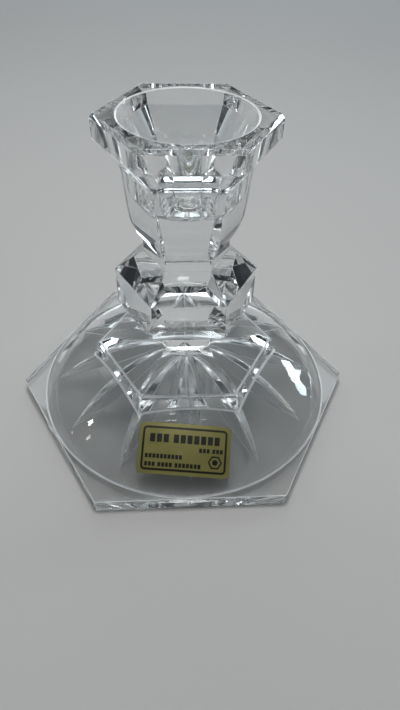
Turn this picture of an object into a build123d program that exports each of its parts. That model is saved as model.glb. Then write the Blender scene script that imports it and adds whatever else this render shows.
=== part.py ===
"""Hexagonal cut-crystal candlestick for a taper candle, with a foil label on its foot.

Millimetres, +Z up. The origin is the centre of the face that the foot stands on.
Every hexagon has two corners on the X axis, so flats face +Y and -Y.
Widths of hexagonal parts are across flats. Heights are measured up from the piece below.
"""
import math
import os

from build123d import *

# Foot: a hexagonal slab carrying a round dome, with a hexagonal boss on top
FOOT_FLATS = 86.6
FOOT_EDGE_HEIGHT = 4.2
DOME_EDGE_LAND = 0.5          # flat left between the dome and the middle of each side
DOME_CREST = 17.0             # height above the slab that the dome's curve would reach on the axis
DOME_BAND = 20.4              # dome left showing between its edge and the boss, for the label
BOSS_WALL_HEIGHT = 4.0        # wall standing above the dome at each corner of the boss
BOSS_DRAFT = 12.0             # degrees that the boss's six walls lean in
CROWN_RISE = 7.5              # six sloping facets above the boss, up to the lower neck

# Underside of the foot: a shallow round hollow with a star of mitre cuts
SEAT_RIM = 3.8                # flat that the foot stands on, at the middle of each side
HOLLOW_DEPTH = 14.5
RAY_COUNT = 12
RAY_DEPTH = 2.5               # deepest point of a cut, above the hollow's surface
RAY_MITRE = 105.0             # included angle of the cutting wheel's edge, in degrees
RAY_TIP_MARGIN = 3.0          # from the hollow's edge in to a ray's outer tip
RAY_START = 3.0               # from the axis out to a ray's inner tip

# Knop between two short necks
LOWER_NECK_FLATS = 19.8
LOWER_NECK_HEIGHT = 2.5
KNOP_FLATS = 32.1
KNOP_SLOPE_HEIGHT = 5.7       # same above and below the girdle
KNOP_GIRDLE_HEIGHT = 10.8
UPPER_NECK_FLATS = 18.9
UPPER_NECK_HEIGHT = 2.7

# Candle socket inside the cup
SOCKET_RADIUS = 11.0
SOCKET_DEPTH = 19.0
SOCKET_STRAIGHT = 9.5         # straight wall above the floor, below the flare
SOCKET_FLOOR_FILLET = 1.6
MOUTH_RADIUS = 14.8
LIP_ROUND = 0.6

# Cup: facets that swell from the upper neck, and a flanged hexagonal rim
CUP_HEIGHT = 31.0
SOCKET_WALL = 1.65            # glass at the middle of a facet, level with the socket's floor
CUP_FLARE = 0.55              # widening of each facet from the floor up to the flange
CUP_SHOULDER = 0.75           # step in of each facet, halfway from the neck up to the socket's floor
FLANGE_THICKNESS = 5.1
FLANGE_SLOPE_HEIGHT = 6.1     # sloping underside, from the cup's wall out to the rim's side
FLANGE_ROOT_FILLET = 4.0
RIM_LAND = 1.75               # flat between the lip and the bevel, at the middle of each side
RIM_BEVEL_WIDTH = 0.8
RIM_BEVEL_HEIGHT = 0.9

# Label stuck on the front of the dome, and the ink printed on it
LABEL_WIDTH = 24.5
LABEL_HEIGHT = 13.5
LABEL_CORNER = 1.6
LABEL_THICKNESS = 0.15
LABEL_BOSS_GAP = 4.8          # measured out from the boss's wall to the label's top edge
LABEL_SIDE_STEP = -2.7        # degrees round the axis from the middle of the front side
LABEL_TILT = -3.7             # degrees that the label is turned on the dome
INK_THICKNESS = 0.05
BORDER_INSET = 1.0
BORDER_LINE = 0.55
TITLE_WORDS = (3, 7)          # plain blocks in each word
TITLE_BLOCK = (1.35, 2.2)     # width and height of one block
TITLE_MARGIN = 1.4            # from the border in to the title
NOTE_WORDS = (3, 3)           # short small line under the end of the title
LOWER_WORDS = ((3, 4, 7), (10,))     # two small lines, from the bottom up
SMALL_BLOCK = (0.75, 1.1)
SMALL_MARGIN = 0.5            # from the border in to the small lines and the emblem
LINE_GAP = 1.0                # between one line of blocks and the next
BLOCK_GAP_SHARE = 1 / 3       # gap between blocks, for a block 1 wide
EMBLEM_WIDTH = 3.8
EMBLEM_LINE = 0.45

# Derived radii and levels
foot_apothem = FOOT_FLATS / 2
dome_radius = foot_apothem - DOME_EDGE_LAND
dome_sphere_radius = (dome_radius**2 + DOME_CREST**2) / (2 * DOME_CREST)
dome_centre_z = FOOT_EDGE_HEIGHT + DOME_CREST - dome_sphere_radius
boss_top_apothem = dome_radius - DOME_BAND
boss_corner_radius = boss_top_apothem / math.cos(math.radians(30))
dome_at_corner_z = dome_centre_z + math.sqrt(dome_sphere_radius**2 - boss_corner_radius**2)
boss_top_z = dome_at_corner_z + BOSS_WALL_HEIGHT
boss_lean = (boss_top_z - FOOT_EDGE_HEIGHT) * math.tan(math.radians(BOSS_DRAFT))
boss_base_apothem = boss_top_apothem + boss_lean
foot_top_z = boss_top_z + CROWN_RISE

hollow_radius = foot_apothem - SEAT_RIM
hollow_sphere_radius = (hollow_radius**2 + HOLLOW_DEPTH**2) / (2 * HOLLOW_DEPTH)
hollow_centre_z = HOLLOW_DEPTH - hollow_sphere_radius

girdle_bottom_z = foot_top_z + LOWER_NECK_HEIGHT + KNOP_SLOPE_HEIGHT
girdle_top_z = girdle_bottom_z + KNOP_GIRDLE_HEIGHT
knop_top_z = girdle_top_z + KNOP_SLOPE_HEIGHT + UPPER_NECK_HEIGHT

total_height = knop_top_z + CUP_HEIGHT
socket_floor_z = total_height - SOCKET_DEPTH
flare_start_z = socket_floor_z + SOCKET_STRAIGHT
belly_apothem = SOCKET_RADIUS + SOCKET_WALL
flange_edge_z = total_height - FLANGE_THICKNESS
flange_root_z = flange_edge_z - FLANGE_SLOPE_HEIGHT
lip_radius = MOUTH_RADIUS + LIP_ROUND
bevel_apothem = lip_radius + RIM_LAND
flange_apothem = bevel_apothem + RIM_BEVEL_WIDTH


def six_facets(side_line, bottom_z, top_z):
    """Hexagonal solid whose six facets all follow one side line, drawn as (apothem, height)."""
    low = side_line @ 0
    high = side_line @ 1
    far_side = mirror(side_line, about=Plane.YZ)
    outline = [side_line, Line(high, (0, top_z)), Line((0, top_z), far_side @ 1)]
    outline += [far_side, Line(far_side @ 0, (0, bottom_z)), Line((0, bottom_z), low)]
    section = make_face(Curve() + outline)
    reach = 2 * section.bounding_box().max.X
    slab = extrude(Plane.YZ * section, amount=reach, both=True)
    return slab & Rot(0, 0, 60) * slab & Rot(0, 0, 120) * slab


def ball(radius, centre_z):
    """Solid sphere on the axis."""
    return Pos(0, 0, centre_z) * Sphere(radius)


def mitre_wheel():
    """V-edged grinding wheel placed where it cuts one ray of the star, along +X."""
    tip_radius = hollow_radius - RAY_TIP_MARGIN
    inner_angle = math.asin(RAY_START / hollow_sphere_radius)
    outer_angle = math.asin(tip_radius / hollow_sphere_radius)
    middle_angle = (inner_angle + outer_angle) / 2
    half_chord = hollow_sphere_radius * math.sin((outer_angle - inner_angle) / 2)
    chord_distance = hollow_sphere_radius * math.cos((outer_angle - inner_angle) / 2)
    rise = hollow_sphere_radius + RAY_DEPTH - chord_distance
    wheel_radius = (half_chord**2 + rise**2) / (2 * rise)
    centre_distance = hollow_sphere_radius + RAY_DEPTH - wheel_radius
    edge_depth = 3 * RAY_DEPTH
    edge_half_width = edge_depth * math.tan(math.radians(RAY_MITRE / 2))
    edge = make_face(
        Polyline(
            (wheel_radius, 0),
            (wheel_radius - edge_depth, edge_half_width),
            (wheel_radius - edge_depth, -edge_half_width),
            close=True,
        )
    )
    wheel = revolve(edge, Axis.Y)
    wheel_x = centre_distance * math.sin(middle_angle)
    wheel_z = hollow_centre_z + centre_distance * math.cos(middle_angle)
    return Pos(wheel_x, 0, wheel_z) * wheel


def make_foot():
    """Slab, dome and boss, hollowed underneath and cut with the star."""
    slab = extrude(RegularPolygon(foot_apothem, 6, major_radius=False), FOOT_EDGE_HEIGHT)
    dome_edge = Pos(0, 0, FOOT_EDGE_HEIGHT) * Cylinder(
        dome_radius, foot_top_z, align=(Align.CENTER, Align.CENTER, Align.MIN)
    )
    dome = ball(dome_sphere_radius, dome_centre_z) & dome_edge
    boss_side = Polyline(
        (boss_base_apothem, FOOT_EDGE_HEIGHT),
        (boss_top_apothem, boss_top_z),
        (LOWER_NECK_FLATS / 2, foot_top_z),
    )
    boss = six_facets(boss_side, FOOT_EDGE_HEIGHT, foot_top_z)
    foot = slab + dome + boss - ball(hollow_sphere_radius, hollow_centre_z)
    wheel = mitre_wheel()
    for ray in range(RAY_COUNT):
        foot -= Rot(0, 0, ray * 360 / RAY_COUNT) * wheel
    return foot


def make_knop():
    """Upright hexagonal girdle between two sets of sloping facets, with a neck at each end."""
    girdle = KNOP_FLATS / 2
    side = Polyline(
        (LOWER_NECK_FLATS / 2, foot_top_z),
        (LOWER_NECK_FLATS / 2, foot_top_z + LOWER_NECK_HEIGHT),
        (girdle, girdle_bottom_z),
        (girdle, girdle_top_z),
        (UPPER_NECK_FLATS / 2, girdle_top_z + KNOP_SLOPE_HEIGHT),
        (UPPER_NECK_FLATS / 2, knop_top_z),
    )
    return six_facets(side, foot_top_z, knop_top_z)


def make_candle_cup():
    """Faceted cup with its flanged rim, and the round candle socket cut into it."""
    neck = (UPPER_NECK_FLATS / 2, knop_top_z)
    shoulder = (belly_apothem - CUP_SHOULDER, (knop_top_z + socket_floor_z) / 2)
    belly = (belly_apothem, socket_floor_z)
    flange_root = (belly_apothem + CUP_FLARE, flange_root_z)
    flange_edge = (flange_apothem, flange_edge_z)
    swell = Spline(neck, shoulder, belly, tangents=((0.62, 1), (0.07, 1)))
    wall = FilletPolyline(belly, flange_root, flange_edge, radius=FLANGE_ROOT_FILLET)
    bevel_bottom = (flange_apothem, total_height - RIM_BEVEL_HEIGHT)
    rim = Polyline(flange_edge, bevel_bottom, (bevel_apothem, total_height))
    side = Wire(swell.edges() + wall.edges() + rim.edges())
    cup = six_facets(side, knop_top_z, total_height)

    floor_corner = SOCKET_RADIUS - SOCKET_FLOOR_FILLET
    mouth_z = total_height - LIP_ROUND
    floor = Line((0, socket_floor_z), (floor_corner, socket_floor_z))
    floor_arc = TangentArc(
        floor @ 1, (SOCKET_RADIUS, socket_floor_z + SOCKET_FLOOR_FILLET), tangent=(1, 0)
    )
    straight = Line(floor_arc @ 1, (SOCKET_RADIUS, flare_start_z))
    flare = Line(straight @ 1, (MOUTH_RADIUS, mouth_z))
    lip = RadiusArc(flare @ 1, (lip_radius, total_height), LIP_ROUND)
    above = Polyline(lip @ 1, (lip_radius, total_height + 1), (0, total_height + 1), floor @ 0)
    socket_section = make_face(Curve() + [floor, floor_arc, straight, flare, lip, above])
    socket = revolve(Plane.XZ * socket_section, Axis.Z)
    return cup - socket


def label_plane():
    """Plane that touches the dome under the middle of the label, its Y up the slope."""
    reach = boss_top_apothem + LABEL_BOSS_GAP
    top_angle = math.asin(reach / dome_sphere_radius)
    middle_angle = top_angle + LABEL_HEIGHT / 2 / dome_sphere_radius
    middle = Vector(
        0,
        -dome_sphere_radius * math.sin(middle_angle),
        dome_centre_z + dome_sphere_radius * math.cos(middle_angle),
    )
    outward = Vector(0, -math.sin(middle_angle), math.cos(middle_angle))
    front = Plane(origin=middle, x_dir=(1, 0, 0), z_dir=outward)
    turned = front * Rot(0, 0, LABEL_TILT)
    return Rot(0, 0, LABEL_SIDE_STEP) * turned


def on_dome(outline, height, thickness):
    """Give a flat outline a thickness, bent to the dome at a height above its glass."""
    inner_radius = dome_sphere_radius + height
    shell = ball(inner_radius + thickness, dome_centre_z) - ball(inner_radius, dome_centre_z)
    punch = extrude(label_plane() * outline, amount=LABEL_HEIGHT / 2, both=True)
    return shell & punch


def line_width(words, block_width):
    """Length of a line of blocks, with one block's width between words."""
    gaps = (sum(words) - len(words)) * BLOCK_GAP_SHARE + len(words) - 1
    return (sum(words) + gaps) * block_width


def line_blocks(words, block, left, level):
    """Outlines of one line of plain blocks that stands for print."""
    width, height = block
    outlines = []
    x = left
    for word in words:
        for _ in range(word):
            outlines.append(Pos(x + width / 2, level) * Rectangle(width, height))
            x += width * (1 + BLOCK_GAP_SHARE)
        x += width * (1 - BLOCK_GAP_SHARE)
    return outlines


def print_outlines():
    """Outlines of everything printed: border, title, small lines and a plain emblem."""
    border_width = LABEL_WIDTH - 2 * BORDER_INSET
    border_height = LABEL_HEIGHT - 2 * BORDER_INSET
    border_corner = LABEL_CORNER - BORDER_INSET / 2
    inner_width = border_width - 2 * BORDER_LINE
    inner_height = border_height - 2 * BORDER_LINE
    border = RectangleRounded(border_width, border_height, border_corner)
    outlines = [border - RectangleRounded(inner_width, inner_height, border_corner - BORDER_LINE)]

    title_level = inner_height / 2 - TITLE_MARGIN - TITLE_BLOCK[1] / 2
    title_left = -line_width(TITLE_WORDS, TITLE_BLOCK[0]) / 2
    outlines += line_blocks(TITLE_WORDS, TITLE_BLOCK, title_left, title_level)

    small_width, small_height = SMALL_BLOCK
    right = inner_width / 2 - SMALL_MARGIN
    note_level = title_level - TITLE_BLOCK[1] / 2 - LINE_GAP - small_height / 2
    note_left = right - line_width(NOTE_WORDS, small_width)
    outlines += line_blocks(NOTE_WORDS, SMALL_BLOCK, note_left, note_level)

    bottom = -inner_height / 2 + SMALL_MARGIN
    for line, words in enumerate(LOWER_WORDS):
        level = bottom + small_height / 2 + line * (small_height + LINE_GAP)
        outlines += line_blocks(words, SMALL_BLOCK, -right, level)

    emblem_radius = EMBLEM_WIDTH / 2
    inner_radius = emblem_radius - EMBLEM_LINE
    emblem = RegularPolygon(emblem_radius, 6) - RegularPolygon(inner_radius, 6)
    dot = Circle(inner_radius / 2)
    outlines += [Pos(right - emblem_radius, bottom + emblem_radius) * mark for mark in (emblem, dot)]
    return outlines


def make_label_foil():
    """Rounded rectangle of foil that lies on the dome."""
    return on_dome(RectangleRounded(LABEL_WIDTH, LABEL_HEIGHT, LABEL_CORNER), 0, LABEL_THICKNESS)


def make_label_print():
    """Ink on the foil, each printed mark its own thin solid."""
    marks = []
    for outline in print_outlines():
        marks += on_dome(outline, LABEL_THICKNESS, INK_THICKNESS).solids()
    return Compound(children=marks)


parts = {
    "foot": make_foot(),
    "knop": make_knop(),
    "candle_cup": make_candle_cup(),
    "label_foil": make_label_foil(),
    "label_print": make_label_print(),
}

os.makedirs("parts", exist_ok=True)
for node, shape in parts.items():
    export_step(shape, f"parts/{node}.step")
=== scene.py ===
"""Looks of the hexagonal cut-crystal candlestick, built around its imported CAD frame.

The frame is in metres, +Z up, with two corners of every hexagon on the X axis and the label on
the -Y side. The glass is shaped in millimetres as a stack of rings, and scaled once, when its mesh
is made. One continuous piece of glass stands for the foot, the knop and the candle cup.
"""
import math

import bmesh
import bpy
from mathutils import Matrix, Vector
from mathutils.geometry import interpolate_bezier


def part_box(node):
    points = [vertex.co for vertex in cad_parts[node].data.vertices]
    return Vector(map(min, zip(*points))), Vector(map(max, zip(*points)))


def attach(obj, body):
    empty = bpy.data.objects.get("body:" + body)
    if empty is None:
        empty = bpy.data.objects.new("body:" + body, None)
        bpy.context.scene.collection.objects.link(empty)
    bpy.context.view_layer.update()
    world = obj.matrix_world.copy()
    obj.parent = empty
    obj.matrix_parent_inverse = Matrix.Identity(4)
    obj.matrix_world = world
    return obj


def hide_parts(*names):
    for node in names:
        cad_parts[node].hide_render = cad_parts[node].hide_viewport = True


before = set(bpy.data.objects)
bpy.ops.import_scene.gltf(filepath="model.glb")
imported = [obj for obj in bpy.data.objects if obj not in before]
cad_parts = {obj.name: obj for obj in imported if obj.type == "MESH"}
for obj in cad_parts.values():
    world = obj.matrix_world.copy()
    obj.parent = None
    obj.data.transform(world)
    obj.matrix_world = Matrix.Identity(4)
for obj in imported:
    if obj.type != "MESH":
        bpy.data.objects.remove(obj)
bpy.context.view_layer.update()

MM = 0.001


def high_corner(node):
    """Highest corner of a CAD node's box, in millimetres."""
    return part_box(node)[1] / MM


# ---------------------------------------------------------------------------
# Sizes of the glass, in millimetres. Overall sizes come from the frame.
# ---------------------------------------------------------------------------
foot_high = high_corner("foot")
knop_high = high_corner("knop")
cup_high = high_corner("candle_cup")

SIDES = 6
CORNER_ANGLE = math.pi / SIDES        # half the angle that one side covers

# Foot
SLAB_HEIGHT = 4.2
DOME_LAND = 0.5                       # flat between the dome and the middle of each side
DOME_CREST = 17.0                     # height above the slab that the dome's curve would reach
DOME_BAND = 20.4                      # from the dome's edge in to the boss
BOSS_DRAFT = math.radians(12)         # that the boss's walls lean in
CROWN_RISE = 7.5                      # of the facets above the boss, up to the lower neck
LOWER_NECK_APOTHEM = 9.9
SEAT_RIM = 3.8                        # flat that the foot stands on, at the middle of each side
HOLLOW_DEPTH = 14.5
HOLLOW_EDGE_ROUND = 0.15              # reach of the hollow's soft edge, in and out
HOLLOW_EDGE_RISE = 0.12
foot_apothem = foot_high.y
foot_top = foot_high.z
dome_radius = foot_apothem - DOME_LAND
dome_sphere = (dome_radius**2 + DOME_CREST**2) / (2 * DOME_CREST)
dome_centre = SLAB_HEIGHT + DOME_CREST - dome_sphere
boss_apothem = dome_radius - DOME_BAND
boss_top = foot_top - CROWN_RISE
hollow_radius = foot_apothem - SEAT_RIM
hollow_sphere = (hollow_radius**2 + HOLLOW_DEPTH**2) / (2 * HOLLOW_DEPTH)
hollow_centre = HOLLOW_DEPTH - hollow_sphere

# Star cut underneath: a ray under each corner of the foot, and one under the middle of each side
RAY_DEPTH = 2.5                       # deepest point of a ray, above the hollow's surface
RAY_MITRE = math.radians(105)         # included angle of the cutting wheel's edge
RAY_START = 3.0                       # from the axis out to a ray's inner end
RAY_TIP_MARGIN = 3.0                  # from the hollow's edge in to a ray's outer tip
LEAST_RAY_DEPTH = 0.012               # keeps the faces at the two ends of a ray open
ray_tip = hollow_radius - RAY_TIP_MARGIN

# Knop and necks
LOWER_NECK_HEIGHT = 2.5
KNOP_SLOPE = 5.7                      # height of the facets above the girdle, and below it
UPPER_NECK_HEIGHT = 2.7
UPPER_NECK_APOTHEM = 9.45
knop_apothem = knop_high.y
knop_top = knop_high.z
girdle_low = foot_top + LOWER_NECK_HEIGHT + KNOP_SLOPE
girdle_high = knop_top - UPPER_NECK_HEIGHT - KNOP_SLOPE

# Cup and its socket
SOCKET_RADIUS = 11.0
SOCKET_DEPTH = 19.0
SOCKET_STRAIGHT = 9.5                 # straight wall above the floor, below the flare
SOCKET_FILLET = 1.6
SOCKET_FLARE_ROUND = 5.0              # rounding between the straight wall and the flare
SOCKET_WALL = 1.65                    # glass at the middle of a facet, level with the floor
MOUTH_RADIUS = 14.8
LIP_ROUND = 0.6
CUP_FLARE = 0.55                      # widening of each facet from the floor up to the flange
FLANGE_THICKNESS = 5.1
FLANGE_SLOPE = 6.1                    # height of the flange's sloping underside
FLANGE_ROOT_FILLET = 4.0
BEVEL_WIDTH = 0.8
BEVEL_HEIGHT = 0.9
BEVEL_TOP_ROUND = 0.2
BEVEL_TOP_STRIP = 0.4                 # strip of the rim's flat top beside the bevel
BEVEL_SIDE_ROUND = 0.3
FLOOR_RIPPLES = 3                     # rings moulded in the socket's floor
FLOOR_RIPPLE_REACH = 6.3
FLOOR_RIPPLE_DEPTH = 0.25
rim_top = cup_high.z
rim_apothem = cup_high.y
socket_floor = rim_top - SOCKET_DEPTH
flare_start = socket_floor + SOCKET_STRAIGHT
belly_apothem = SOCKET_RADIUS + SOCKET_WALL
flange_edge = rim_top - FLANGE_THICKNESS
lip_radius = MOUTH_RADIUS + LIP_ROUND

# Softness of the fire-polished edges
CORNER_ROUND = 0.45
SLAB_CORNER_ROUND = 0.7
EDGE_ROUND = 0.3
SLAB_EDGE_ROUND = 0.2
# The slab's frosted top edge is a painted highlight line.
SLAB_SIDE_STRIP = 0.03                # strip between the slab's frosted edge and its polished side
SLAB_SEAT_STRIP = 0.5                 # flat strip underneath, inside the slab's lower edge
CREASE = 0.2                          # width of the narrow strip along each edge of a ray

# Fine grooves that the mould leaves round the boss and the dome
GROOVE_REACH = 0.3                    # half the width of a groove
GROOVE_DEPTH = 0.28
SLAB_GROOVE_REACH = 0.24              # of the dome's groove, out on the slab
GROOVE_INSET = 0.75                   # of the groove inside the boss's top edge
GROOVE_EDGE = 0.05                    # strip along each of the groove's own edges
BOSS_GROOVE_SHARE = 2 * GROOVE_REACH / DOME_BAND

# Columns of the ring stack
HALF_COLUMNS = 16                     # from a corner of the hexagon to the middle of a side
ROUND_COLUMNS = 3                     # of those, on half of a corner's rounding
COLUMNS = 2 * SIDES * HALF_COLUMNS
RAY_COLUMNS = 4                       # under the foot, on each wall of a ray

# Finishes of the glass, which are also its material slots
POLISHED = 0
# Frosted strips are matt, and their pale colour is also painted highlight: bright lines along the
# lip, grooves, slab edge and rays.
FROSTED_AND_HIGHLIGHT = 1
GROUND = 2                            # on the rays only, with the hollow between them polished


# ---------------------------------------------------------------------------
# Rings
# ---------------------------------------------------------------------------
def whole_ring(half_side):
    """Full ring of points from those of one half side, from a corner to the middle of a side.

    half_side is a list of (x, y, z), HALF_COLUMNS + 1 long, with the corner on +X.
    """
    ring = []
    for side in range(SIDES):
        turn = Matrix.Rotation(2 * CORNER_ANGLE * side, 3, "Z")
        back = Matrix.Rotation(2 * CORNER_ANGLE * (side + 1), 3, "Z")
        ring += [turn @ Vector(point) for point in half_side[:-1]]
        for x, y, z in reversed(half_side[1:]):
            ring.append(back @ Vector((x, -y, z)))
    return ring


def hexagon_half_side(apothem, z, rounding=CORNER_ROUND):
    """Half side of a hexagon with rounded corners."""
    arc_centre = (apothem - rounding) / math.cos(CORNER_ANGLE)
    points = []
    for column in range(ROUND_COLUMNS + 1):
        angle = CORNER_ANGLE * column / ROUND_COLUMNS
        points.append((arc_centre + rounding * math.cos(angle), rounding * math.sin(angle), z))
    first = math.atan2(points[-1][1], points[-1][0])
    straight = HALF_COLUMNS - ROUND_COLUMNS
    for column in range(1, straight + 1):
        angle = first + (CORNER_ANGLE - first) * column / straight
        reach = apothem / math.cos(CORNER_ANGLE - angle)
        points.append((reach * math.cos(angle), reach * math.sin(angle), z))
    return points


def hexagon_ring(apothem, z, rounding=CORNER_ROUND):
    """Level hexagonal ring with rounded corners."""
    return whole_ring(hexagon_half_side(apothem, z, rounding))


def circle_ring(radius, z):
    """Level round ring."""
    half_side = []
    for column in range(HALF_COLUMNS + 1):
        angle = CORNER_ANGLE * column / HALF_COLUMNS
        half_side.append((radius * math.cos(angle), radius * math.sin(angle), z))
    return whole_ring(half_side)


def softened(outline):
    """Round the corners of an outline of (width, height, rounding radius) points."""
    least_steps = 3
    degrees_per_step = 6
    straight_enough = 1e-3
    points = [outline[0][:2]]
    for before, here, after in zip(outline, outline[1:], outline[2:]):
        corner = Vector(here[:2])
        back = Vector(before[:2]) - corner
        ahead = Vector(after[:2]) - corner
        turn = math.pi - back.angle(ahead)
        if here[2] == 0 or turn < straight_enough:
            points.append(tuple(corner))
            continue
        tangent = here[2] * math.tan(turn / 2)
        start = corner + back.normalized() * tangent
        end = corner + ahead.normalized() * tangent
        handle = 4 / 3 * math.tan(turn / 4) * here[2]
        steps = max(least_steps, round(math.degrees(turn) / degrees_per_step))
        arc = interpolate_bezier(
            start.to_3d(),
            (start - back.normalized() * handle).to_3d(),
            (end - ahead.normalized() * handle).to_3d(),
            end.to_3d(),
            steps + 1,
        )
        points += [(point.x, point.y) for point in arc]
    points.append(outline[-1][:2])
    return points


def groove(outline):
    """Sharp outline with a narrow strip beside each corner, so that its faces stay flat."""
    largest_share = 0.3
    points = [outline[0]]
    for here, after in zip(outline, outline[1:]):
        start = Vector(here)
        end = Vector(after)
        trim = min(GROOVE_EDGE / (end - start).length, largest_share)
        points += [tuple(start.lerp(end, trim)), tuple(end.lerp(start, trim))]
    points.append(outline[-1])
    return points


def dome_height(radius):
    """Height of the dome's surface at a distance from the axis."""
    return dome_centre + math.sqrt(dome_sphere**2 - radius**2)


def hollow_height(radius):
    """Height of the hollow's surface under the foot at a distance from the axis."""
    return hollow_centre + math.sqrt(hollow_sphere**2 - radius**2)


# ---------------------------------------------------------------------------
# Stretches of the stack, from the socket's floor up, over and down to the underside
# ---------------------------------------------------------------------------
def socket_rings():
    """Round candle socket, from the rings moulded in its floor up to the lip."""
    outline = [
        (FLOOR_RIPPLE_REACH, socket_floor, 0),
        (SOCKET_RADIUS, socket_floor, SOCKET_FILLET),
        (SOCKET_RADIUS, flare_start, SOCKET_FLARE_ROUND),
        (MOUTH_RADIUS, rim_top - LIP_ROUND, 0),
    ]
    points = []
    steps_per_ripple = 8
    steps = steps_per_ripple * FLOOR_RIPPLES
    for step in range(1, steps):
        share = step / steps
        swing = math.cos(2 * math.pi * FLOOR_RIPPLES * share) - 1
        points.append((FLOOR_RIPPLE_REACH * share, socket_floor + FLOOR_RIPPLE_DEPTH / 2 * swing))
    points += softened(outline)
    return [circle_ring(width, height) for width, height in points]


def lip_rings(start, end):
    """Part of the lip's rounding, which runs from 0 degrees at the flare to 90 on the rim's top."""
    rings = []
    steps = 4
    for step in range(steps + 1):
        angle = math.radians(start + (end - start) * step / steps)
        width = lip_radius - LIP_ROUND * math.cos(angle)
        height = rim_top - LIP_ROUND + LIP_ROUND * math.sin(angle)
        rings.append(circle_ring(width, height))
    return rings


def cup_swell():
    """Curve of a cup facet, from the belly down to the upper neck."""
    neck_pull = Vector((0.62, 1, 0)) * 3.8
    belly_pull = Vector((-0.07, -1, 0)) * 4.0
    curve_points = 14
    neck = Vector((UPPER_NECK_APOTHEM, knop_top, 0))
    belly = Vector((belly_apothem, socket_floor, 0))
    curve = interpolate_bezier(belly, belly + belly_pull, neck + neck_pull, neck, curve_points)
    return [(point.x, point.y, 0) for point in curve]


def on_crown(inset, depth=0):
    """Point of the crown's facets, at an inset from the boss's top edge, in (width, height)."""
    crown_slope = CROWN_RISE / (boss_apothem - LOWER_NECK_APOTHEM)
    return boss_apothem - inset, boss_top + crown_slope * inset - depth


def outer_rings():
    """Hexagonal rings from the rim's flat top down to the crown above the boss."""
    outline = [
        (rim_apothem - BEVEL_WIDTH - BEVEL_TOP_STRIP, rim_top, 0),
        (rim_apothem - BEVEL_WIDTH, rim_top, BEVEL_TOP_ROUND),
        (rim_apothem, rim_top - BEVEL_HEIGHT, BEVEL_SIDE_ROUND),
        (rim_apothem, flange_edge, EDGE_ROUND),
        (belly_apothem + CUP_FLARE, flange_edge - FLANGE_SLOPE, FLANGE_ROOT_FILLET),
        *cup_swell(),
        (UPPER_NECK_APOTHEM, girdle_high + KNOP_SLOPE, EDGE_ROUND),
        (knop_apothem, girdle_high, EDGE_ROUND),
        (knop_apothem, girdle_low, EDGE_ROUND),
        (LOWER_NECK_APOTHEM, girdle_low - KNOP_SLOPE, EDGE_ROUND),
        (LOWER_NECK_APOTHEM, foot_top, EDGE_ROUND),
        (*on_crown(GROOVE_INSET + GROOVE_REACH + GROOVE_EDGE), 0),
    ]
    return [hexagon_ring(width, height) for width, height in softened(outline)]


def crown_groove_rings():
    """Groove just inside the top edge of the boss."""
    outline = [
        on_crown(GROOVE_INSET + GROOVE_REACH),
        on_crown(GROOVE_INSET, GROOVE_DEPTH),
        on_crown(GROOVE_INSET - GROOVE_REACH),
    ]
    return [hexagon_ring(width, height) for width, height in groove(outline)]


def boss_edge_rings():
    """Top edge of the boss, between its crown and its walls."""
    wall_strip = 1.0
    outline = [
        (*on_crown(GROOVE_INSET - GROOVE_REACH - GROOVE_EDGE), 0),
        (boss_apothem, boss_top, EDGE_ROUND),
        (boss_apothem + wall_strip * math.tan(BOSS_DRAFT), boss_top - wall_strip, 0),
    ]
    return [hexagon_ring(width, height) for width, height in softened(outline)]


def boss_foot():
    """Half side of the line where the boss's sloping wall meets the dome.

    Each pass drops the line onto the dome, and the next one widens it to the wall at that height.
    """
    first_guess = boss_top - 4.0
    passes = 8
    heights = [first_guess] * (HALF_COLUMNS + 1)
    for _ in range(passes):
        line = []
        for column, height in enumerate(heights):
            width = boss_apothem + (boss_top - height) * math.tan(BOSS_DRAFT)
            line.append(hexagon_half_side(width, height)[column])
        heights = [dome_height(math.hypot(x, y)) for x, y, z in line]
    return line


def on_dome_half_side(line, share):
    """Half side on the dome, at a share of the way from the boss's foot to the dome's edge."""
    points = []
    for column, (x, y, z) in enumerate(line):
        even = CORNER_ANGLE * column / HALF_COLUMNS
        angle = math.atan2(y, x) * (1 - share) + even * share
        radius = math.hypot(x, y) * (1 - share) + dome_radius * share
        points.append((radius * math.cos(angle), radius * math.sin(angle), dome_height(radius)))
    return points


def boss_groove_rings(line):
    """Groove where the boss's walls stand on the dome."""
    outlines = []
    for column, beyond in enumerate(on_dome_half_side(line, BOSS_GROOVE_SHARE)):
        z = line[column][2]
        width = boss_apothem + (boss_top - z - GROOVE_REACH) * math.tan(BOSS_DRAFT)
        wall = hexagon_half_side(width, z + GROOVE_REACH)[column]
        bottom = hexagon_half_side(width - GROOVE_DEPTH, z - GROOVE_DEPTH)[column]
        outlines.append(groove([wall, bottom, beyond]))
    return [whole_ring(half_side) for half_side in zip(*outlines)]


def dome_rings(line):
    """Dome, from the groove round the boss to the groove round its own edge."""
    rings = []
    steps = 18
    for step in range(1, steps):
        share = BOSS_GROOVE_SHARE + (1 - BOSS_GROOVE_SHARE) * step / steps
        rings.append(whole_ring(on_dome_half_side(line, share)))
    return rings


def dome_groove_rings():
    """Groove between the dome and the slab's flat top."""
    inner = dome_radius - GROOVE_REACH
    outline = [
        (inner, dome_height(inner)),
        (dome_radius, SLAB_HEIGHT - GROOVE_DEPTH),
        (dome_radius + SLAB_GROOVE_REACH, SLAB_HEIGHT),
    ]
    return [circle_ring(width, height) for width, height in groove(outline)]


def slab_ring(inset, z):
    """Hexagonal ring of the slab, at an inset from its sides."""
    return hexagon_ring(foot_apothem - inset, z, SLAB_CORNER_ROUND - inset)


def slab_edge_rings():
    """Rounding of the slab's top edge."""
    rings = []
    steps = 4
    for step in range(steps + 1):
        angle = math.pi / 2 * step / steps
        inset = SLAB_EDGE_ROUND * (1 - math.sin(angle))
        drop = SLAB_EDGE_ROUND * (1 - math.cos(angle))
        rings.append(slab_ring(inset, SLAB_HEIGHT - drop))
    return rings


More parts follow.
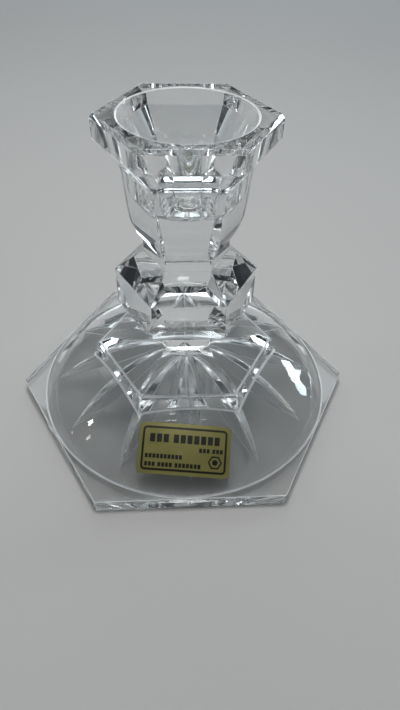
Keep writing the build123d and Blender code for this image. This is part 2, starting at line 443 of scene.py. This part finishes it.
def slab_rings():
    """Sides of the slab and the face that it stands on."""
    outline = [
        (foot_apothem, SLAB_HEIGHT - SLAB_EDGE_ROUND - SLAB_SIDE_STRIP, 0),
        (foot_apothem, 0, SLAB_EDGE_ROUND),
        (foot_apothem - SLAB_SEAT_STRIP, 0, 0),
    ]
    rings = [slab_ring(foot_apothem - width, height) for width, height in softened(outline)]
    rings.append(circle_ring(hollow_radius + HOLLOW_EDGE_ROUND, 0))
    return rings


def ray_depth(radius):
    """Depth of a cut ray above the hollow's surface, along its valley."""
    middle = (RAY_START + ray_tip) / 2
    half_length = (ray_tip - RAY_START) / 2
    return RAY_DEPTH * (1 - ((radius - middle) / half_length) ** 2)


def star_half_side(radius):
    """Half side under the foot at one radius: half a ray, the plain hollow, half of the next ray."""
    slope = math.tan(RAY_MITRE / 2)
    depth = max(ray_depth(radius), LEAST_RAY_DEPTH)
    half_width = depth * slope
    crease = min(CREASE, half_width / 4)
    room = radius * math.sin(CORNER_ANGLE / 2) - half_width
    wall = [0, crease, half_width / 2, half_width - crease, half_width]
    beside = [min(crease, room / 4), room / 2, room * 3 / 4]
    across = wall + [half_width + offset for offset in beside]
    angles = [math.asin(offset / radius) for offset in across]
    angles.append(CORNER_ANGLE / 2)
    depths = [max(depth - max(offset, crease / 2) / slope, 0) for offset in across] + [0]
    angles += [CORNER_ANGLE - angle for angle in reversed(angles[:-1])]
    depths += list(reversed(depths[:-1]))
    points = []
    for angle, cut in zip(angles, depths):
        height = hollow_height(radius) + cut
        points.append((radius * math.cos(angle), radius * math.sin(angle), height))
    return points


def hollow_edge_rings():
    """Edge of the round hollow under the foot."""
    inner = hollow_radius - HOLLOW_EDGE_ROUND
    return [circle_ring(hollow_radius, HOLLOW_EDGE_RISE), circle_ring(inner, hollow_height(inner))]


def star_rings():
    """Hollow with its star of rays, from the tips of the rays in to their inner ends."""
    steps = 46
    radii = [ray_tip + (RAY_START - ray_tip) * step / steps for step in range(steps + 1)]
    return [whole_ring(star_half_side(radius)) for radius in radii]


def hollow_middle_rings():
    """Middle of the hollow, inside the star."""
    share = 0.6
    radius = RAY_START * share
    return [circle_ring(radius, hollow_height(radius))]


def face_finish(finish, column):
    """Finish of one face of a ring. Ground rings are ground on the rays alone.

    The valley of a ray and its two edges are frosted, pale strips that are painted highlight lines
    along the ray.
    """
    if finish != GROUND:
        return finish
    place = column % (2 * HALF_COLUMNS)
    from_corner = min(place, 2 * HALF_COLUMNS - 1 - place)
    from_valley = min(from_corner, HALF_COLUMNS - 1 - from_corner)
    if from_valley >= RAY_COLUMNS:
        return POLISHED
    if from_valley in (0, RAY_COLUMNS - 1):
        return FROSTED_AND_HIGHLIGHT
    return GROUND


def skin(name, stretches, first_pole, last_pole):
    """Closed mesh over stretches of rings, with a fan at each end. Points are in millimetres.

    stretches is a list of (rings, finish). The faces between two stretches are polished.
    """
    mesh = bpy.data.meshes.new(name)
    shell = bmesh.new()
    rows = []
    for rings, finish in stretches:
        for place, ring in enumerate(rings):
            row = [shell.verts.new(Vector(point) * MM) for point in ring]
            rows.append((row, finish if place > 0 else POLISHED))
    for (row, _), (next_row, finish) in zip(rows, rows[1:]):
        for column in range(COLUMNS):
            following = (column + 1) % COLUMNS
            corners = (row[column], row[following], next_row[following], next_row[column])
            shell.faces.new(corners).material_index = face_finish(finish, column)
    for row, pole in ((rows[0][0], first_pole), (rows[-1][0], last_pole)):
        centre = shell.verts.new(Vector(pole) * MM)
        for column in range(COLUMNS):
            shell.faces.new((centre, row[column], row[(column + 1) % COLUMNS]))
    bmesh.ops.recalc_face_normals(shell, faces=shell.faces)
    shell.to_mesh(mesh)
    shell.free()
    mesh.shade_smooth()
    piece = bpy.data.objects.new(name, mesh)
    bpy.context.scene.collection.objects.link(piece)
    return piece


def make_glass():
    """The candlestick's one piece of glass, in the material slots of its finishes."""
    boss_line = boss_foot()
    stretches = [
        (socket_rings(), POLISHED),
        (lip_rings(start=10, end=35), POLISHED),
        # The lip's frosted band is a painted highlight: its pale colour draws the bright ring round
        # the mouth.
        (lip_rings(start=38, end=85), FROSTED_AND_HIGHLIGHT),
        (lip_rings(start=88, end=90), POLISHED),
        (outer_rings(), POLISHED),
        # The frosted grooves are a matt mould seam and also painted highlight lines round the boss
        # and the dome.
        (crown_groove_rings(), FROSTED_AND_HIGHLIGHT),
        (boss_edge_rings(), POLISHED),
        (boss_groove_rings(boss_line), FROSTED_AND_HIGHLIGHT),
        (dome_rings(boss_line), POLISHED),
        (dome_groove_rings(), FROSTED_AND_HIGHLIGHT),
        # The slab's frosted top edge is a painted highlight line on a fire-polished edge.
        (slab_edge_rings(), FROSTED_AND_HIGHLIGHT),
        (slab_rings(), POLISHED),
        (hollow_edge_rings(), POLISHED),
        (star_rings(), GROUND),
        (hollow_middle_rings(), POLISHED),
    ]
    glass = skin("crystal", stretches, (0, 0, socket_floor), (0, 0, HOLLOW_DEPTH))
    weighted = glass.modifiers.new("flat_facets", "WEIGHTED_NORMAL")
    weighted.weight = 80
    for material in (lead_crystal(), frosted_and_highlight_crystal(), ground_crystal()):
        glass.data.materials.append(material)
    return glass


# ---------------------------------------------------------------------------
# Node groups that several materials use
# ---------------------------------------------------------------------------
def new_group(name, inputs, output, output_kind):
    """Empty node group with named inputs and one output, and its two end nodes."""
    group = bpy.data.node_groups.new(name, "ShaderNodeTree")
    for label, kind, value in inputs:
        socket = group.interface.new_socket(label, in_out="INPUT", socket_type=kind)
        socket.default_value = value
    group.interface.new_socket(output, in_out="OUTPUT", socket_type=output_kind)
    start = group.nodes.new("NodeGroupInput")
    end = group.nodes.new("NodeGroupOutput")
    return group, start, end


def object_noise(group, start, detail):
    """Noise in the object's own space, with its scale taken from the group's Scale input."""
    place = group.nodes.new("ShaderNodeTexCoord")
    noise = group.nodes.new("ShaderNodeTexNoise")
    noise.inputs["Detail"].default_value = detail
    group.links.new(place.outputs["Object"], noise.inputs["Vector"])
    group.links.new(start.outputs["Scale"], noise.inputs["Scale"])
    return noise


def ripple_group():
    """Low waves left in a surface by pressing, polishing or sticking down."""
    inputs = [("Scale", "NodeSocketFloat", 60.0), ("Fine Scale", "NodeSocketFloat", 400.0),
              ("Fine Share", "NodeSocketFloat", 0.1)]
    group, start, end = new_group("ripple", inputs, "Height", "NodeSocketFloat")
    broad = object_noise(group, start, 1.0)
    fine = object_noise(group, start, 2.0)
    group.links.new(start.outputs["Fine Scale"], fine.inputs["Scale"])
    mix = group.nodes.new("ShaderNodeMix")
    group.links.new(start.outputs["Fine Share"], mix.inputs["Factor"])
    group.links.new(broad.outputs["Fac"], mix.inputs["A"])
    group.links.new(fine.outputs["Fac"], mix.inputs["B"])
    group.links.new(mix.outputs["Result"], end.inputs["Height"])
    return group


def handling_group():
    """Roughness of a clean surface with soft patches of handling marks."""
    inputs = [("Scale", "NodeSocketFloat", 70.0), ("Clean", "NodeSocketFloat", 0.0),
              ("Marked", "NodeSocketFloat", 0.1), ("Threshold", "NodeSocketFloat", 0.55)]
    group, start, end = new_group("handling_marks", inputs, "Roughness", "NodeSocketFloat")
    noise = object_noise(group, start, 5.0)
    reach = group.nodes.new("ShaderNodeMapRange")
    reach.interpolation_type = "SMOOTHSTEP"
    reach.inputs["From Max"].default_value = 0.85
    group.links.new(noise.outputs["Fac"], reach.inputs["Value"])
    group.links.new(start.outputs["Threshold"], reach.inputs["From Min"])
    group.links.new(start.outputs["Clean"], reach.inputs["To Min"])
    group.links.new(start.outputs["Marked"], reach.inputs["To Max"])
    group.links.new(reach.outputs["Result"], end.inputs["Roughness"])
    return group


def tone_group():
    """Colour that drifts between two close tones over the surface."""
    inputs = [("Scale", "NodeSocketFloat", 40.0), ("Tone", "NodeSocketColor", (0.5, 0.5, 0.5, 1)),
              ("Second Tone", "NodeSocketColor", (0.4, 0.4, 0.4, 1))]
    group, start, end = new_group("tone_drift", inputs, "Color", "NodeSocketColor")
    noise = object_noise(group, start, 3.0)
    spread = group.nodes.new("ShaderNodeMapRange")
    spread.inputs["From Min"].default_value = 0.3
    spread.inputs["From Max"].default_value = 0.7
    mix = group.nodes.new("ShaderNodeMix")
    mix.data_type = "RGBA"
    # A mix node repeats its socket names for each kind of value, so its colours go by place.
    first_colour = 6
    second_colour = 7
    mixed_colour = 2
    group.links.new(noise.outputs["Fac"], spread.inputs["Value"])
    group.links.new(spread.outputs["Result"], mix.inputs["Factor"])
    group.links.new(start.outputs["Tone"], mix.inputs[first_colour])
    group.links.new(start.outputs["Second Tone"], mix.inputs[second_colour])
    group.links.new(mix.outputs[mixed_colour], end.inputs["Color"])
    return group


RIPPLE = ripple_group()
HANDLING = handling_group()
TONE = tone_group()


# ---------------------------------------------------------------------------
# Materials
# ---------------------------------------------------------------------------
def new_material(name):
    """Material with its node tree and its Principled shader."""
    material = bpy.data.materials.new(name)
    material.use_nodes = True
    return material, material.node_tree, material.node_tree.nodes["Principled BSDF"]


def place_group(tree, group, values):
    """Put a node group in a material with its own values."""
    node = tree.nodes.new("ShaderNodeGroup")
    node.node_tree = group
    for label, value in values.items():
        node.inputs[label].default_value = value
    return node


def add_tone(tree, shader, scale, tone, second_tone):
    """Base colour that drifts between two tones."""
    values = {"Scale": scale, "Tone": (*tone, 1), "Second Tone": (*second_tone, 1)}
    node = place_group(tree, TONE, values)
    tree.links.new(node.outputs["Color"], shader.inputs["Base Color"])


def add_handling(tree, shader, scale, clean, marked, threshold):
    """Roughness from clean to marked, where the marks cover less for a higher threshold."""
    values = {"Scale": scale, "Clean": clean, "Marked": marked, "Threshold": threshold}
    node = place_group(tree, HANDLING, values)
    tree.links.new(node.outputs["Roughness"], shader.inputs["Roughness"])


def add_ripple(tree, shader, depth, scale, fine_scale, fine_share):
    """Bump from the ripple group. depth is in millimetres."""
    values = {"Scale": scale, "Fine Scale": fine_scale, "Fine Share": fine_share}
    node = place_group(tree, RIPPLE, values)
    bump = tree.nodes.new("ShaderNodeBump")
    bump.inputs["Distance"].default_value = depth * MM
    bump.inputs["Strength"].default_value = 1
    tree.links.new(node.outputs["Height"], bump.inputs["Height"])
    tree.links.new(bump.outputs["Normal"], shader.inputs["Normal"])


def new_crystal(name, transmission):
    """Material with the refractive index of 24 percent lead crystal."""
    material, tree, shader = new_material(name)
    shader.inputs["Metallic"].default_value = 0
    shader.inputs["IOR"].default_value = 1.545
    shader.inputs["Transmission Weight"].default_value = transmission
    return material, tree, shader


def lead_crystal():
    """Clear lead crystal, fire-polished, with faint ripples and a few handling marks."""
    material, tree, shader = new_crystal("lead_crystal", transmission=1)
    add_tone(tree, shader, scale=45, tone=(0.985, 0.994, 0.996), second_tone=(0.975, 0.988, 0.99))
    add_handling(tree, shader, scale=110, clean=0.0, marked=0.05, threshold=0.6)
    add_ripple(tree, shader, depth=0.05, scale=70, fine_scale=300, fine_share=0.04)
    return material


def frosted_and_highlight_crystal():
    """Matt crystal of the fine grooves, the lip, the slab's top edge and the edges of the rays, in a
    pale colour that paints bright highlight lines along them; on the grooves it is also a real matt
    mould seam.
    """
    material, tree, shader = new_crystal("frosted_and_highlight_crystal", transmission=0.45)
    # Painted highlight: pale whites that show as bright lines on the edges they cover.
    add_tone(tree, shader, scale=300, tone=(0.95, 0.97, 0.98), second_tone=(0.86, 0.9, 0.92))
    add_handling(tree, shader, scale=400, clean=0.3, marked=0.55, threshold=0.5)
    add_ripple(tree, shader, depth=0.03, scale=400, fine_scale=2000, fine_share=0.5)
    return material


def ground_crystal():
    """Crystal left a little hazy by the cutting wheel, on the walls of the rays."""
    material, tree, shader = new_crystal("ground_crystal", transmission=0.88)
    add_tone(tree, shader, scale=250, tone=(0.98, 0.99, 0.995), second_tone=(0.88, 0.92, 0.94))
    add_handling(tree, shader, scale=500, clean=0.0, marked=0.22, threshold=0.45)
    add_ripple(tree, shader, depth=0.06, scale=300, fine_scale=1800, fine_share=0.35)
    return material


def gold_foil():
    """Satin olive-gold foil."""
    material, tree, shader = new_material("olive_gold_foil")
    shader.inputs["Metallic"].default_value = 0.35
    add_tone(tree, shader, scale=160, tone=(0.32, 0.3, 0.105), second_tone=(0.27, 0.255, 0.085))
    add_handling(tree, shader, scale=500, clean=0.34, marked=0.5, threshold=0.45)
    add_ripple(tree, shader, depth=0.02, scale=250, fine_scale=2500, fine_share=0.5)
    return material


def printing_ink():
    """Black printing ink, a little worn."""
    material, tree, shader = new_material("black_printing_ink")
    add_tone(tree, shader, scale=900, tone=(0.008, 0.008, 0.007), second_tone=(0.02, 0.019, 0.012))
    add_handling(tree, shader, scale=700, clean=0.35, marked=0.55, threshold=0.45)
    add_ripple(tree, shader, depth=0.01, scale=500, fine_scale=3000, fine_share=0.4)
    return material


def studio_paper():
    """Plain pale paper of the floor."""
    material, tree, shader = new_material("pale_paper")
    add_tone(tree, shader, scale=6, tone=(0.5, 0.5, 0.495), second_tone=(0.49, 0.49, 0.486))
    shader.inputs["Roughness"].default_value = 0.85
    shader.inputs["Specular IOR Level"].default_value = 0.2
    return material


# ---------------------------------------------------------------------------
# Stage
# ---------------------------------------------------------------------------
def make_floor():
    """Plain round floor, in metres, a hair below the face that the foot stands on."""
    floor_reach = 1.4
    floor_gap = 0.00005
    mesh = bpy.data.meshes.new("floor")
    paper = bmesh.new()
    bmesh.ops.create_circle(paper, cap_ends=True, radius=floor_reach, segments=128)
    bmesh.ops.translate(paper, verts=paper.verts, vec=(0, 0, -floor_gap))
    paper.to_mesh(mesh)
    paper.free()
    mesh.materials.append(studio_paper())
    floor = bpy.data.objects.new("floor", mesh)
    bpy.context.scene.collection.objects.link(floor)


def aimed(place, target):
    """Placement of a lamp or camera that looks from one point at another."""
    direction = Vector(target) - Vector(place)
    return Matrix.Translation(place) @ direction.to_track_quat("-Z", "Y").to_matrix().to_4x4()


def softbox(name, azimuth, elevation, distance, width, height, power, colour):
    """Rectangular lamp aimed at the middle of the candlestick, in metres and watts.

    Azimuth is counted from +X towards +Y and elevation from the floor, both in degrees.
    """
    lamp = bpy.data.lights.new(name, "AREA")
    lamp.shape = "RECTANGLE"
    lamp.size = width
    lamp.size_y = height
    lamp.energy = power
    lamp.color = colour
    holder = bpy.data.objects.new(name, lamp)
    bpy.context.scene.collection.objects.link(holder)
    turn = math.radians(azimuth)
    rise = math.radians(elevation)
    middle = Vector((0, 0, 0.04))
    reach = math.cos(rise)
    away = Vector((reach * math.cos(turn), reach * math.sin(turn), math.sin(rise)))
    holder.matrix_world = aimed(middle + away * distance, middle)
    holder.visible_camera = False


def make_lights():
    """Five softboxes in dark surroundings."""
    # Name: azimuth, elevation, distance, width, height, power, colour
    lamps = {
        "window": (33, 13, 1.2, 0.25, 0.14, 2.0, (0.8, 0.92, 1)),
        "overhead": (90, 86, 0.5, 0.22, 0.2, 1.9, (1, 1, 1)),
        "back_panel": (90, 41, 1.4, 2.3, 0.45, 5.5, (0.92, 0.97, 1)),
        "low_strip": (90, 9, 1.3, 1.3, 0.18, 4.4, (0.86, 0.95, 1)),
        "left_lamp": (179, 31, 1.2, 0.05, 0.07, 0.4, (1, 0.93, 0.82)),
    }
    for name, settings in lamps.items():
        softbox(name, *settings)
    world = bpy.data.worlds.new("studio")
    bpy.context.scene.world = world
    world.use_nodes = True
    background = world.node_tree.nodes["Background"]
    background.inputs["Color"].default_value = (0.025, 0.028, 0.031, 1)


def make_camera():
    """Camera held close above the front, looking 45 degrees down at the candlestick."""
    camera = bpy.data.cameras.new("camera")
    camera.sensor_fit = "VERTICAL"
    camera.sensor_height = 36
    camera.lens = 27.2
    camera.clip_start = 0.01
    holder = bpy.data.objects.new("camera", camera)
    bpy.context.scene.collection.objects.link(holder)
    place = Vector((-5.08, -114.57, 129.48)) * MM
    target = Vector((4.40, -0.19, 13.72)) * MM
    roll = Matrix.Rotation(math.radians(2.15), 4, "Z")
    holder.matrix_world = aimed(place, target) @ roll
    bpy.context.scene.camera = holder


glass = make_glass()
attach(glass, "root")
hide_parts("foot", "knop", "candle_cup")

for node, material in (("label_foil", gold_foil()), ("label_print", printing_ink())):
    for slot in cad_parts[node].material_slots:
        slot.material = material

make_floor()
make_lights()
make_camera()

# Light crosses many faces of the glass on its way through the socket, the knop and the star.
cycles = bpy.context.scene.cycles
cycles.use_denoising = True
cycles.max_bounces = 32
cycles.transmission_bounces = 32
cycles.glossy_bounces = 16
bpy.context.scene.view_settings.view_transform = "Standard"
